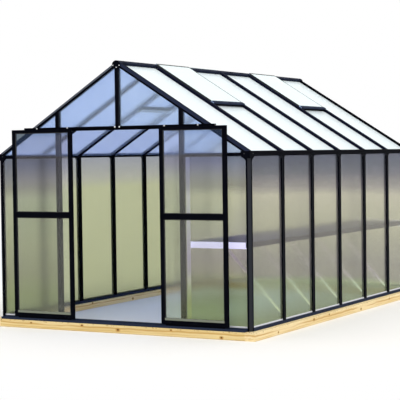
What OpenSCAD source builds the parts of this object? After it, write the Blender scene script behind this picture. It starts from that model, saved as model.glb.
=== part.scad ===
// Walk-in greenhouse: a timber base frame, black glazing bars, translucent twin-wall
// panels, a pair of sliding doors, roof vents and a slatted bench along one wall.
// Lengths are in millimetres. X runs across the gables, Y from the door gable to the
// rear gable and Z up from the ground. The origin is at the middle of the base.

/* [Plan] */
// Spacing of the bars along the side walls and the roof
bay = 600; // [540:10:720]
// Number of bays along each side wall
side_bays = 6; // [5:1:9]
// Spacing of the bars across the gables, a quarter of the width
gable_bay = 600; // [560:10:680]

/* [Heights] */
// Height of the walls, from the timber to the underside of the eave rails
wall_h = 1385; // [1250:5:1700]
// Height of the outer face of the eave rails
eave_h = 40; // [34:1:60]
// Pitch of the roof in degrees
roof_pitch = 32; // [28:1:38]

/* [Timber base] */
// Height of the timbers
base_h = 66; // [45:1:100]
// Width of the timbers
base_w = 95; // [80:1:120]
// How far the timbers stand out past the frame
base_reveal = 60; // [45:1:70]
// Radius of the timbers' long edges
base_round = 9; // [4:1:16]

/* [Glazing bars] */
// Depth of every bar, from its outer face to its inner face
frame_d = 38; // [36:1:60]
// Depth of the outer cap that stands proud of the wall panels
cap_t = 16; // [10:1:20]
// Depth of the outer cap that stands proud of the roof panels
roof_cap_t = 23; // [14:1:24]
// Width of the wall studs and rafters
bar_w = 38; // [32:1:50]
// Width of the web between two panels
web_w = 20; // [14:1:24]
// Bevel along the edges of a cap
cap_bevel = 2; // [0.5:0.5:4]
// Height of the sills
sill_h = 26; // [20:1:40]
// Height of the rails across the gables at eave level
gable_rail_h = 28; // [24:1:40]
// Thickness of the eave rail over the studs
eave_plate = 10; // [8:1:14]
// Width of the flat sole under the ridge beam
ridge_sole = 24; // [16:1:40]
// Leg of the bevel on the corner posts and gable rafters
corner_bevel = 23; // [10:1:26]
// Step of the ribs beside that bevel
corner_rib = 2; // [1:0.5:4]
// Leg of the gussets between the studs and the eave rails
stud_gusset = 18; // [8:1:30]
// Leg of the gussets beside the tops of the corner posts
corner_gusset = 34; // [20:1:50]

/* [Panels] */
// Thickness of the twin-wall panels
panel_t = 8; // [6:1:10]
// Room on each face of a panel in its groove
panel_gap = 0.3; // [0.2:0.1:0.6]
// Room past the edge of a panel in its groove
edge_gap = 2; // [1:0.5:3]

/* [Doors] */
// Height of the door track's underside above the eave level
track_rise = 229; // [180:1:260]
// Height of the door track
track_h = 32; // [30:1:40]
// Depth of the door track
track_d = 22; // [20:1:26]
// Half length of the door track
track_half = 922; // [880:1:1000]
// Wall of the door track
track_wall = 2.5; // [2:0.5:3]
// Height of the slot along the front of the door track
track_slot = 12; // [10:1:14]
// How far the doors reach up over the door track
door_cover = 17; // [15:1:20]
// Width of each door
door_w = 612; // [600:1:640]
// Thickness of the doors
door_t = 20; // [18:1:22]
// Width of the door stiles
stile_w = 35; // [30:1:50]
// Height of the doors' top rails
top_rail_h = 28; // [24:1:50]
// Height of the doors' middle rails
mid_rail_h = 45; // [36:1:70]
// Height of the doors' bottom rails
bottom_rail_h = 46; // [40:1:80]
// Height of the middle rail's underside above the timber
mid_rail_z = 883; // [700:1:1000]
// Gap between the closed doors
door_meet = 6; // [5:0.5:10]
// How far the left door stands open
left_open = 422; // [0:1:446]
// How far the right door stands open
right_open = 422; // [0:1:446]

/* [Vents] */
// Length of the vents down the slope
vent_len = 672; // [500:1:760]
// Bays with a vent on the right slope
right_vents = [2, 5];
// Bays with a vent on the left slope
left_vents = [3];
// Length of the vents' bottom bar down the slope
vent_bar = 32; // [24:1:60]
// Height of that bar over the rafters
vent_bar_h = 13; // [12:1:26]

/* [Bench] */
// Height of the bench top above the timber
bench_z = 700; // [600:5:850]
// Depth of the bench from the wall studs
bench_d = 551; // [400:1:600]
// Height of the bench rails
bench_rail_h = 40; // [30:1:70]
// Height of the bench's end bars
bench_end_h = 50; // [30:1:70]
// Width of the bench rails
bench_rail_w = 25; // [20:1:35]
// Number of slats
slats = 5; // [3:1:8]
// Thickness of the slats
slat_t = 18; // [12:1:25]
// Height of the strut feet above the timber
strut_z = 78; // [40:1:140]

/* [Hidden] */

// Curve quality and the overrun of every cut
$fn = 48;
overrun = 5;
// Room left where a piece only rests against a curved or moving neighbour
seat_gap = 0.3;

// Finishes
timber_colour = "burlywood";
bar_colour = "#23272e";
panel_colour = "#d7e0e0";
bench_colour = "silver";
hanger_colour = "dimgray";

// Distance of the outer faces from the bar centre lines
frame_out = 20;
x_out = 2 * gable_bay + frame_out;
y_out = side_bays * bay / 2 + frame_out;
x_in = x_out - frame_d;
y_in = y_out - frame_d;

// Levels
sill_z = base_h + sill_h;
eave_z = base_h + wall_h;
eave_top = eave_z + eave_h;
gable_rail_z = eave_z + gable_rail_h;
track_z = eave_z + track_rise;
track_top = track_z + track_h;
apex_z = eave_top + x_out * tan(roof_pitch);

// Panel grooves
slot_t = panel_t + 2 * panel_gap;
groove_d = (bar_w - web_w) / 2;
panel_edge = groove_d - edge_gap;
panel_in = cap_t + panel_gap;
roof_panel_in = roof_cap_t + panel_gap;
groove_y = y_in + groove_d;

// Roof slope, measured from the apex down the outer faces
ridge_half = (ridge_sole / 2 + frame_d * sin(roof_pitch)) / cos(roof_pitch);
eave_s = (apex_z - eave_z - eave_plate - frame_d * cos(roof_pitch)) / sin(roof_pitch);
rafter_l = eave_s - ridge_half;

// Undersides of the gable rafters, and the top edges of the panels in their grooves
function under_z(x) = apex_z - frame_d / cos(roof_pitch) - abs(x) * tan(roof_pitch);
function panel_top(x) = under_z(x) + panel_edge / cos(roof_pitch);
function slope_point(s, v) = [
  s * cos(roof_pitch) + v * sin(roof_pitch),
  apex_z - s * sin(roof_pitch) + v * cos(roof_pitch)
];

// Positions of the wall studs and rafters between the gables
stud_y = [for (i = [1 : side_bays - 1]) (i - side_bays / 2) * bay];
function bay_start(i) = (i - 1 - side_bays / 2) * bay;

// Doors, which hang in front of the track
move_gap = 6;
door_y = -y_out - track_d - move_gap;
door_mid_y = door_y - door_t / 2;
door_lift = 31;
door_z = base_h + door_lift;
door_top = track_z + door_cover;
door_h = door_top - door_z;
door_groove = panel_edge + edge_gap;

// Guide channel under the doors, and the fin of each door that runs in it
guide_t = 4;
guide_rib = 3;
guide_h = 20;
fin_t = 4;
guide_half = fin_t / 2 + move_gap + guide_rib;
guide_d = -y_out - door_mid_y + guide_half;
fin_z = base_h + guide_t + move_gap;

// Door hangers
hanger_in = 160;
wheel_r = 10;
wheel_w = 9;
wheel_rim = 2;
wheel_groove = 2.5;
axle_r = 2.5;
boss_r = 4;
boss_l = 3;
wheel_z = track_z + track_wall + seat_gap + wheel_r;
wheel_y = -y_out - track_d / 2;

// Latch at the meeting edge of each door
latch_w = 24;
latch_h = 44;
latch_t = 4;
latch_grip_w = 8;
latch_grip_d = 11;
latch_drop = 10;

// End plates and corner caps
end_plate_r = 40;
end_plate_h = 68;
end_plate_t = 4;
corner_cap_l = 84;
corner_cap_h = 56;
corner_cap_t = 4;
corner_cap_drop = 16;
corner_cap_bevel = 22;

// Smallest height left at the sharp end of a gable panel
panel_tip_h = 14;

// Vents
vent_side_gap = 16;
vent_top_s = 5;
vent_nose = 4;
cross_bar_in = 24;

// Bench
bench_x = x_in - bench_d;
bench_low = base_h + bench_z - bench_rail_h;
bench_top = base_h + bench_z;
bench_end_gap = 2;
bench_y = y_in - bench_end_gap;
arm_w = 20;
slat_gap = 10;
strut_w = 20;
strut_t = 9;

// Frames of reference

// Children are drawn with X down the slope from the apex and Z square out of the roof
module slope(side) {
  mirror([side < 0 ? 1 : 0, 0, 0])
    translate([0, 0, apex_z])
      rotate([0, roof_pitch, 0])
        children();
}

// A profile drawn across Y and Z, run along X
module run_x(length) {
  rotate([90, 0, 90])
    linear_extrude(length)
      children();
}

// A profile drawn across X and Z, run along Y from the start
module run_y(start, length) {
  translate([0, start + length, 0])
    rotate([90, 0, 0])
      linear_extrude(length)
        children();
}

// Children drawn for the right side of the frame, moved to the named side
module on_side(side) {
  mirror([side < 0 ? 1 : 0, 0, 0])
    children();
}

// Children drawn for the front gable, moved to the front or the back
module on_gable(end) {
  mirror([0, end > 0 ? 1 : 0, 0])
    children();
}

// Profiles

// Stud or rafter: outer face on Y = 0, body towards -Y, a groove on each side under its cap
module bar_section(cap = cap_t) {
  difference() {
    polygon([
      [-bar_w / 2, -frame_d], [bar_w / 2, -frame_d],
      [bar_w / 2, -cap_bevel], [bar_w / 2 - cap_bevel, 0],
      [cap_bevel - bar_w / 2, 0], [-bar_w / 2, -cap_bevel]
    ]);
    for (side = [-1, 1])
      translate([side * bar_w / 2 - groove_d, -cap - slot_t])
        square([2 * groove_d, slot_t]);
  }
}

// Corner post or gable rafter: outer corner on the origin, a groove in each inner face
module corner_section(cap = cap_t) {
  difference() {
    polygon([
      [corner_bevel, 0], [frame_d, 0], [frame_d, frame_d], [0, frame_d], [0, corner_bevel],
      [corner_rib, corner_bevel], [corner_bevel, corner_rib]
    ]);
    translate([frame_d - groove_d, cap])
      square([2 * groove_d, slot_t]);
    translate([cap_t, frame_d - groove_d])
      square([slot_t, 2 * groove_d]);
  }
}

// Timber with rounded long edges, its outer face on X = 0 and its foot on Y = 0
module timber_section() {
  translate([base_round, 0])
    square([base_w - 2 * base_round, base_h]);
  translate([0, base_round])
    square([base_w, base_h - 2 * base_round]);
  for (x = [base_round, base_w - base_round], y = [base_round, base_h - base_round])
    translate([x, y])
      circle(base_round);
}

// Gusset in the corner between a post and the rail over it: the corner on the origin, one
// leg along +X, the other down, its outer face on Y = 0
module gusset(leg) {
  run_depth = cap_t - panel_gap;
  translate([0, run_depth, 0])
    rotate([90, 0, 0])
      linear_extrude(run_depth)
        polygon([[0, 0], [leg, 0], [0, -leg]]);
}

// Everything under the gable rafters and the ridge beam
module under_roof() {
  run_y(-y_out - overrun, 2 * (y_out + overrun))
    polygon([
      [-x_out, 0], [x_out, 0], [x_out, under_z(x_out)],
      [ridge_sole / 2, under_z(ridge_sole / 2)], [-ridge_sole / 2, under_z(ridge_sole / 2)],
      [-x_out, under_z(x_out)]
    ]);
}

// Everything that a gable panel may fill on the right of the ridge
module gable_panel_zone() {
  top_s = ridge_half + edge_gap;
  polygon([
    [0, 0], [x_out, 0], [x_out, panel_top(x_out)],
    slope_point(top_s, panel_edge - frame_d), slope_point(top_s, -frame_d),
    [0, slope_point(top_s, -frame_d)[1]]
  ]);
}

// Timber base

module side_timber(side) {
  color(timber_colour)
    on_side(side)
      run_y(-y_out - base_reveal, 2 * (y_out + base_reveal))
        translate([x_out + base_reveal - base_w, 0])
          timber_section();
}

module end_timber(end) {
  length = 2 * (x_out + base_reveal - base_w);
  color(timber_colour)
    on_gable(end)
      translate([-length / 2, -y_out - base_reveal, 0])
        run_x(length)
          timber_section();
}

module base_timber_front() { end_timber(-1); }
module base_timber_back() { end_timber(1); }
module base_timber_left() { side_timber(-1); }
module base_timber_right() { side_timber(1); }

// Sills

module side_sill(side) {
  color(bar_colour)
    on_side(side)
      difference() {
        translate([x_in, -y_in, base_h])
          cube([frame_d, 2 * y_in, sill_h]);
        translate([x_out - cap_t - slot_t, -y_in - overrun, sill_z - groove_d])
          cube([slot_t, 2 * (y_in + overrun), 2 * groove_d]);
      }
}

module end_sill() {
  translate([-x_in, -y_out, base_h])
    cube([2 * x_in, frame_d, sill_h]);
}

module end_sill_groove(start, length) {
  translate([start, -y_out + cap_t, sill_z - groove_d])
    cube([length, slot_t, 2 * groove_d]);
}

// The front sill carries the doors' guide channel and has no groove across the doorway
module front_sill() {
  color(bar_colour) {
    difference() {
      end_sill();
      for (side = [-1, 1])
        on_side(side)
          end_sill_groove(gable_bay, x_in + overrun - gable_bay);
    }
    translate([-x_in, -y_out - guide_d, base_h])
      cube([2 * x_in, guide_d, guide_t]);
    for (y = [-guide_half, guide_half - guide_rib])
      translate([-x_in, door_mid_y + y, base_h])
        cube([2 * x_in, guide_rib, guide_h]);
  }
}

module back_sill() {
  color(bar_colour)
    on_gable(1)
      difference() {
        end_sill();
        end_sill_groove(-x_in - overrun, 2 * (x_in + overrun));
      }
}

module left_sill() { side_sill(-1); }
module right_sill() { side_sill(1); }

// Wall frame

module corner_posts() {
  color(bar_colour)
    for (side = [-1, 1], end = [-1, 1])
      on_side(side)
        on_gable(end)
          translate([x_out, -y_out, base_h])
            mirror([1, 0, 0]) {
              linear_extrude(wall_h)
                corner_section();
              translate([frame_d, 0, wall_h])
                gusset(corner_gusset);
              translate([0, frame_d, wall_h])
                mirror([1, -1, 0])
                  gusset(corner_gusset);
            }
}

module wall_studs(side) {
  color(bar_colour)
    on_side(side)
      for (y = stud_y)
        translate([x_out, y, sill_z])
          rotate([0, 0, -90]) {
            linear_extrude(eave_z - sill_z)
              bar_section();
            for (edge = [0, 1])
              mirror([edge, 0, 0])
                translate([bar_w / 2, 0, eave_z - sill_z])
                  mirror([0, 1, 0])
                    gusset(stud_gusset);
          }
}

module left_wall_studs() { wall_studs(-1); }
module right_wall_studs() { wall_studs(1); }

// Eave rail: a sole over the studs, an upright outer face and a face square to the roof.
// Its grooves run on over the corner posts, with a pocket there for the gable panel.
module eave_rail(side) {
  color(bar_colour)
    on_side(side)
      difference() {
        run_y(-y_out, 2 * y_out)
          polygon([
            [x_in, eave_z], [x_out, eave_z], [x_out, eave_top],
            slope_point(eave_s, 0), slope_point(eave_s, -frame_d), [x_in, eave_z + eave_plate]
          ]);
        translate([x_out - cap_t - slot_t, -groove_y, eave_z - groove_d])
          cube([slot_t, 2 * groove_y, 2 * groove_d]);
        slope(1)
          translate([eave_s - groove_d, -groove_y, -roof_cap_t - slot_t])
            cube([2 * groove_d, 2 * groove_y, slot_t]);
        for (end = [-1, 1])
          on_gable(end)
            translate([x_in - groove_d, -y_out + cap_t, eave_z - groove_d])
              cube([2 * groove_d, slot_t, 2 * groove_d]);
      }
}

module left_eave_rail() { eave_rail(-1); }
module right_eave_rail() { eave_rail(1); }

// Roof frame

module ridge_beam() {
  edge = slope_point(ridge_half, 0);
  sole = slope_point(ridge_half, -frame_d);
  color(bar_colour)
    difference() {
      run_y(-y_out, 2 * y_out)
        polygon([
          [0, apex_z], edge, [ridge_sole / 2, sole[1]],
          [-ridge_sole / 2, sole[1]], [-edge[0], edge[1]]
        ]);
      for (side = [-1, 1])
        slope(side)
          translate([ridge_half - groove_d, -groove_y, -roof_cap_t - slot_t])
            cube([2 * groove_d, 2 * groove_y, slot_t]);
    }
}

module rafters(side) {
  color(bar_colour)
    slope(side)
      for (y = stud_y)
        translate([ridge_half, y, 0])
          run_x(rafter_l)
            bar_section(roof_cap_t);
}

module left_rafters() { rafters(-1); }
module right_rafters() { rafters(1); }

module gable_rafters(end) {
  color(bar_colour)
    on_gable(end)
      for (side = [-1, 1])
        slope(side)
          translate([ridge_half, -y_out, 0])
            run_x(rafter_l)
              mirror([0, 1])
                corner_section(roof_cap_t);
}

module front_gable_rafters() { gable_rafters(-1); }
module back_gable_rafters() { gable_rafters(1); }

// Gable frames

module gable_stud(x, foot) {
  intersection() {
    translate([x, -y_out, foot])
      rotate([0, 0, 180])
        linear_extrude(apex_z - foot)
          bar_section();
    under_roof();
  }
}

// Rail across a gable with a groove above and below, from one x to another
module gable_rail(from, to) {
  intersection() {
    difference() {
      translate([from, -y_out, eave_z])
        cube([to - from, frame_d, gable_rail_h]);
      for (z = [eave_z, gable_rail_z])
        translate([from - overrun, -y_out + cap_t, z - groove_d])
          cube([to - from + 2 * overrun, slot_t, 2 * groove_d]);
    }
    under_roof();
  }
}

module door_jambs() {
  color(bar_colour)
    for (x = [-gable_bay, gable_bay])
      gable_stud(x, sill_z);
}

module door_lintel() {
  half = gable_bay - bar_w / 2;
  color(bar_colour)
    difference() {
      translate([-half, -y_out, track_z])
        cube([2 * half, frame_d, track_h]);
      translate([-half - overrun, -y_out + cap_t, track_top - groove_d])
        cube([2 * (half + overrun), slot_t, 2 * groove_d]);
    }
}

// Box track, open along a slot in its front where the hangers' axles come out
module door_track() {
  color(bar_colour)
    translate([-track_half, -y_out, track_z])
      run_x(2 * track_half)
        difference() {
          translate([-track_d, 0])
            square([track_d, track_h]);
          translate([track_wall - track_d, track_wall])
            square([track_d - 2 * track_wall, track_h - 2 * track_wall]);
          translate([-track_d - overrun, wheel_z - track_z - track_slot / 2])
            square([overrun + 2 * track_wall, track_slot]);
        }
}

module front_gable_stud() {
  color(bar_colour)
    gable_stud(0, track_top);
}

module front_gable_rails() {
  color(bar_colour)
    for (side = [-1, 1])
      on_side(side)
        gable_rail(gable_bay + bar_w / 2, x_in);
}

module back_gable_studs() {
  color(bar_colour)
    on_gable(1)
      for (x = [-gable_bay, 0, gable_bay])
        gable_stud(x, sill_z);
}

module back_gable_rails() {
  color(bar_colour)
    on_gable(1)
      for (side = [-1, 1])
        on_side(side) {
          gable_rail(bar_w / 2, gable_bay - bar_w / 2);
          gable_rail(gable_bay + bar_w / 2, x_in);
        }
}

// Round-topped plates over the ends of the ridge beam
module ridge_end_plates() {
  color(bar_colour)
    for (end = [-1, 1])
      on_gable(end)
        run_y(-y_out - end_plate_t, end_plate_t)
          intersection() {
            translate([0, apex_z - end_plate_r])
              circle(end_plate_r);
            translate([-end_plate_r, apex_z - end_plate_h])
              square([2 * end_plate_r, end_plate_h]);
          }
}

// Outline of one wing of a corner cap, its outer corner on X = 0
module corner_cap_wing() {
  polygon([
    [0, 0], [corner_cap_l, 0], [corner_cap_l, -corner_cap_h + corner_cap_drop],
    [corner_cap_l - corner_cap_bevel, -corner_cap_h], [0, -corner_cap_h]
  ]);
}

// Caps folded round the eave corners
module eave_corner_caps() {
  color(bar_colour)
    for (side = [-1, 1], end = [-1, 1])
      on_side(side)
        on_gable(end) {
          translate([x_out + corner_cap_t, 0, eave_top])
            mirror([1, 0, 0])
              run_y(-y_out - corner_cap_t, corner_cap_t)
                corner_cap_wing();
          translate([x_out, -y_out - corner_cap_t, eave_top])
            run_x(corner_cap_t)
              corner_cap_wing();
        }
}

// Panels

// Edges of the panel in a bay that is counted from the front, at each end of the row
function bay_lo(i) = i == 1 ? -y_in - panel_edge : bay_start(i) + web_w / 2 + edge_gap;
function bay_hi(i) = i == side_bays ? y_in + panel_edge : bay_start(i + 1) - web_w / 2 - edge_gap;

module wall_panels(side) {
  low = sill_z - panel_edge;
  color(panel_colour)
    on_side(side)
      for (i = [1 : side_bays])
        translate([x_out - panel_in - panel_t, bay_lo(i), low])
          cube([panel_t, bay_hi(i) - bay_lo(i), eave_z + panel_edge - low]);
}

module left_wall_panels() { wall_panels(-1); }
module right_wall_panels() { wall_panels(1); }

// A roof panel runs from the ridge to the eave, or from a vent's cross bar to the eave
module roof_panels(side, vents) {
  low = eave_s + panel_edge;
  color(panel_colour)
    slope(side)
      for (i = [1 : side_bays]) {
        vented = len(search(i, vents)) > 0;
        high = vented ? vent_len - cross_bar_in + bar_w / 2 - panel_edge : ridge_half - panel_edge;
        translate([high, bay_lo(i), -roof_panel_in - panel_t])
          cube([low - high, bay_hi(i) - bay_lo(i), panel_t]);
      }
}

module left_roof_panels() { roof_panels(-1, left_vents); }
module right_roof_panels() { roof_panels(1, right_vents); }

// A panel of the right half of a gable, trimmed under the rafter
module gable_panel(from, to, low, high) {
  run_y(-y_out + panel_in, panel_t)
    intersection() {
      translate([from, low])
        square([to - from, high - low]);
      gable_panel_zone();
    }
}

// The four panels that meet the roof on the right half of a gable, over their rails
module gable_panel_pair(inner_rail_z) {
  low = gable_rail_z - panel_edge;
  tip_x = (panel_top(0) - low - panel_tip_h) / tan(roof_pitch);
  bar_edge = web_w / 2 + edge_gap;
  gable_panel(gable_bay + bar_edge, tip_x, low, apex_z);
  gable_panel(bar_edge, gable_bay - bar_edge, inner_rail_z - panel_edge, apex_z);
}

module front_gable_panels() {
  bar_edge = web_w / 2 + edge_gap;
  color(panel_colour)
    for (side = [-1, 1])
      on_side(side) {
        gable_panel(gable_bay + bar_edge, x_in + panel_edge, sill_z - panel_edge, eave_z + panel_edge);
        gable_panel_pair(track_top);
      }
}

module back_gable_panels() {
  bar_edge = web_w / 2 + edge_gap;
  color(panel_colour)
    on_gable(1)
      for (side = [-1, 1])
        on_side(side) {
          gable_panel(gable_bay + bar_edge, x_in + panel_edge, sill_z - panel_edge, eave_z + panel_edge);
          gable_panel(bar_edge, gable_bay - bar_edge, sill_z - panel_edge, eave_z + panel_edge);
          gable_panel_pair(gable_rail_z);
        }
}

// Vents

// Children are drawn once for each vent, with Y at the middle of its bay
module at_vents() {
  for (i = right_vents)
    slope(1)
      translate([0, bay_start(i) + bay / 2, 0])
        children();
  for (i = left_vents)
    slope(-1)
      translate([0, bay_start(i) + bay / 2, 0])
        children();
}

vent_w = bay - 2 * vent_side_gap;

module vent_panels() {
  color(panel_colour)
    at_vents()
      translate([vent_top_s, -vent_w / 2, seat_gap])
        cube([vent_len - vent_top_s, vent_w, panel_t]);
}

// A bar folded over the lower edge of each vent panel
module vent_bottom_bars() {
  color(bar_colour)
    at_vents()
      translate([vent_len + vent_nose - vent_bar, -vent_w / 2, seat_gap])
        difference() {
          cube([vent_bar, vent_w, vent_bar_h]);
          translate([-overrun, -overrun, -overrun])
            cube([vent_bar - vent_nose + overrun, vent_w + 2 * overrun, panel_t + overrun]);
        }
}

// Bars between the rafters under the lower edge of each vent, grooved for the panel below
module vent_cross_bars() {
  color(bar_colour)
    at_vents()
      translate([vent_len - cross_bar_in, (bar_w - bay) / 2, 0])
        difference() {
          translate([-bar_w / 2, 0, -frame_d])
            cube([bar_w, bay - bar_w, frame_d]);
          translate([bar_w / 2 - groove_d, -overrun, -roof_cap_t - slot_t])
            cube([2 * groove_d, bay - bar_w + 2 * overrun, slot_t]);
        }
}

// Sliding doors, drawn with the left edge of the door on X = 0

left_door_x = -door_meet / 2 - left_open - door_w;
right_door_x = door_meet / 2 + right_open;

// A bar of a door, with panel grooves cut along the named openings
module door_bar(x, z, width, height) {
  translate([x, door_mid_y - door_t / 2, z])
    cube([width, door_t, height]);
}

// The two openings of a door: first its foot, then its head
door_openings = [
  [door_z + bottom_rail_h, base_h + mid_rail_z],
  [base_h + mid_rail_z + mid_rail_h, door_top - top_rail_h]
];

module door_grooves() {
  for (o = door_openings)
    translate([stile_w - door_groove, door_mid_y - slot_t / 2, o[0] - door_groove])
      cube([door_w - 2 * (stile_w - door_groove), slot_t, o[1] - o[0] + 2 * door_groove]);
}

module door_stiles(x) {
  color(bar_colour)
    translate([x, 0, 0])
      difference() {
        for (edge = [0, door_w - stile_w])
          door_bar(edge, door_z, stile_w, door_h);
        door_grooves();
      }
}

// The bottom rail has the fin that runs in the guide channel
module door_rails(x) {
  rail_w = door_w - 2 * stile_w;
  color(bar_colour)
    translate([x, 0, 0]) {
      difference() {
        union() {
          door_bar(stile_w, door_z, rail_w, bottom_rail_h);
          door_bar(stile_w, base_h + mid_rail_z, rail_w, mid_rail_h);
          door_bar(stile_w, door_top - top_rail_h, rail_w, top_rail_h);
        }
        door_grooves();
      }
      translate([stile_w, door_mid_y - fin_t / 2, fin_z])
        cube([rail_w, fin_t, door_z - fin_z]);
    }
}

module door_panels(x) {
  inset = stile_w - panel_edge;
  color(panel_colour)
    translate([x + inset, door_mid_y - panel_t / 2, 0])
      for (o = door_openings)
        translate([0, 0, o[0] - panel_edge])
          cube([door_w - 2 * inset, panel_t, o[1] - o[0] + 2 * panel_edge]);
}

// Half outline of a hanger about its axle, from the back of its wheel to the door: the wheel
// has a groove round it, and a boss stands against the door
module hanger_outline() {
  length = wheel_y + wheel_w / 2 - door_y;
  polygon([
    [0, 0], [wheel_r, 0], [wheel_r, wheel_rim],
    [wheel_r - wheel_groove, wheel_w / 2], [wheel_r, wheel_w - wheel_rim],
    [wheel_r, wheel_w], [axle_r, wheel_w], [axle_r, length - boss_l],
    [boss_r, length - boss_l], [boss_r, length], [0, length]
  ]);
}

// Hangers: a wheel in the track on an axle through the track's slot
module door_hangers(x) {
  color(hanger_colour)
    for (at = [hanger_in, door_w - hanger_in])
      translate([x + at, wheel_y + wheel_w / 2, wheel_z])
        rotate([90, 0, 0])
          rotate_extrude()
            hanger_outline();
}

// A finger pull on the meeting stile, its grip along the edge nearer the other door
module door_latch(x, grip_side) {
  low = base_h + mid_rail_z - latch_drop;
  color(hanger_colour)
    translate([x, door_y - door_t, low]) {
      translate([-latch_w / 2, -latch_t, 0])
        cube([latch_w, latch_t, latch_h]);
      translate([grip_side * (latch_w - latch_grip_w) / 2 - latch_grip_w / 2, -latch_grip_d, 0])
        cube([latch_grip_w, latch_grip_d, latch_h]);
    }
}

module left_door_stiles() { door_stiles(left_door_x); }
module left_door_rails() { door_rails(left_door_x); }
module left_door_panels() { door_panels(left_door_x); }
module left_door_hangers() { door_hangers(left_door_x); }
module left_door_latch() { door_latch(left_door_x + door_w - stile_w / 2, 1); }
module right_door_stiles() { door_stiles(right_door_x); }
module right_door_rails() { door_rails(right_door_x); }
module right_door_panels() { door_panels(right_door_x); }
module right_door_hangers() { door_hangers(right_door_x); }
module right_door_latch() { door_latch(right_door_x + stile_w / 2, -1); }

// Bench along the right wall

bench_inner_w = bench_d - 2 * bench_rail_w;

module bench_rails() {
  color(bench_colour)
    for (x = [bench_x, x_in - bench_rail_w])
      translate([x, -bench_y, bench_low])
        cube([bench_rail_w, 2 * bench_y, bench_rail_h]);
}

module bench_end_bars() {
  color(bench_colour)
    for (end = [-1, 1])
      on_gable(end)
        translate([bench_x + bench_rail_w, -bench_y, bench_top - bench_end_h])
          cube([bench_inner_w, bench_rail_w, bench_end_h]);
}

module bench_arms() {
  color(bench_colour)
    for (y = stud_y)
      translate([bench_x + bench_rail_w, y - arm_w / 2, bench_low])
        cube([bench_inner_w, arm_w, bench_rail_h - slat_t]);
}

// Struts from the stud feet up to the underside of the bench's inner rail
module bench_struts() {
  foot = base_h + strut_z;
  rise = (bench_low - foot) / (x_in - bench_x);
  color(bench_colour)
    for (y = stud_y)
      run_y(y - strut_w / 2, strut_w)
        polygon([
          [x_in, foot], [x_in, foot + strut_t],
          [bench_x + strut_t / rise, bench_low], [bench_x, bench_low]
        ]);
}

module bench_slats() {
  pitch = (bench_inner_w - slat_gap) / slats;
  color(bench_colour)
    for (i = [0 : slats - 1])
      translate([bench_x + bench_rail_w + slat_gap + i * pitch, bench_rail_w - bench_y, bench_top - slat_t])
        cube([pitch - slat_gap, 2 * (bench_y - bench_rail_w), slat_t]);
}

base_timber_front();
base_timber_back();
base_timber_left();
base_timber_right();
front_sill();
back_sill();
left_sill();
right_sill();
corner_posts();
left_wall_studs();
right_wall_studs();
left_eave_rail();
right_eave_rail();
ridge_beam();
left_rafters();
right_rafters();
front_gable_rafters();
back_gable_rafters();
door_jambs();
door_lintel();
door_track();
front_gable_stud();
front_gable_rails();
back_gable_studs();
back_gable_rails();
ridge_end_plates();
eave_corner_caps();
left_wall_panels();
right_wall_panels();
left_roof_panels();
right_roof_panels();
front_gable_panels();
back_gable_panels();
vent_panels();
vent_bottom_bars();
vent_cross_bars();
left_door_stiles();
left_door_rails();
left_door_panels();
left_door_hangers();
left_door_latch();
right_door_stiles();
right_door_rails();
right_door_panels();
right_door_hangers();
right_door_latch();
bench_rails();
bench_end_bars();
bench_arms();
bench_struts();
bench_slats();
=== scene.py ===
import math

import bmesh
import bpy
from mathutils import Matrix, Vector


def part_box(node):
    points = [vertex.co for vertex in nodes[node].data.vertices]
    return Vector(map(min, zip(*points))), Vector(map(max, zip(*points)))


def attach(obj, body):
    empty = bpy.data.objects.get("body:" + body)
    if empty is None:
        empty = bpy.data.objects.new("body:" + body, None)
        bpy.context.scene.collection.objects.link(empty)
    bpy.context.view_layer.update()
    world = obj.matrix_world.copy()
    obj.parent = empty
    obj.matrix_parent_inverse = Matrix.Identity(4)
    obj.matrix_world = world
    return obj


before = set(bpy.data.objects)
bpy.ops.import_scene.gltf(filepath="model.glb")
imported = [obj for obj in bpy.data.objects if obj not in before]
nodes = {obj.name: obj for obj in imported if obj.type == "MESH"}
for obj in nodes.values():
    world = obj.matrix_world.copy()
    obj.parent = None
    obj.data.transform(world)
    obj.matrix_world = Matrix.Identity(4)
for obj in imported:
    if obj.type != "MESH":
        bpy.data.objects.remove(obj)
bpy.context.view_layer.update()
scene = bpy.context.scene
print("frame loaded with", len(nodes), "nodes")

# the roof's two slopes: the height where they would meet and their angle
roofLine = {
    "apex": 2.25334,
    "pitch": 32.0,
}
roofAngle = math.radians(roofLine["pitch"])


# shader maths

class Tap:
    # one shader socket: sums on it add Math nodes to its tree
    def __init__(self, tree, socket=None):
        self.tree = tree
        self.socket = socket

    def make(self, kind, settings, inputs, output=0):
        node = self.tree.nodes.new("ShaderNode" + kind)
        for name, value in settings.items():
            if name == "stops":
                setStops(node.color_ramp, value)
            else:
                setattr(node, name, value)
        for name, value in inputs.items():
            if isinstance(value, Tap):
                self.tree.links.new(value.socket, node.inputs[name])
            else:
                node.inputs[name].default_value = value
        return Tap(self.tree, node.outputs[output] if len(node.outputs) else None)

    def math(self, operation, first, second=0.0):
        return self.make("Math", {"operation": operation}, {0: first, 1: second})

    def __add__(self, other):
        return self.math("ADD", self, other)

    def __radd__(self, other):
        return self.math("ADD", other, self)

    def __sub__(self, other):
        return self.math("SUBTRACT", self, other)

    def __rsub__(self, other):
        return self.math("SUBTRACT", other, self)

    def __mul__(self, other):
        return self.math("MULTIPLY", self, other)

    def __rmul__(self, other):
        return self.math("MULTIPLY", other, self)

    def between(self, low, high):
        # 0 at low, 1 at high, smooth in the middle
        return self.make("MapRange", {"interpolation_type": "SMOOTHSTEP"}, {0: self, 1: low, 2: high})


def setStops(ramp, stops):
    while len(ramp.elements) < len(stops):
        ramp.elements.new(1.0)
    for element, (position, colour) in zip(ramp.elements, stops):
        element.position = position
        element.color = (*colour, 1.0)


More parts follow.
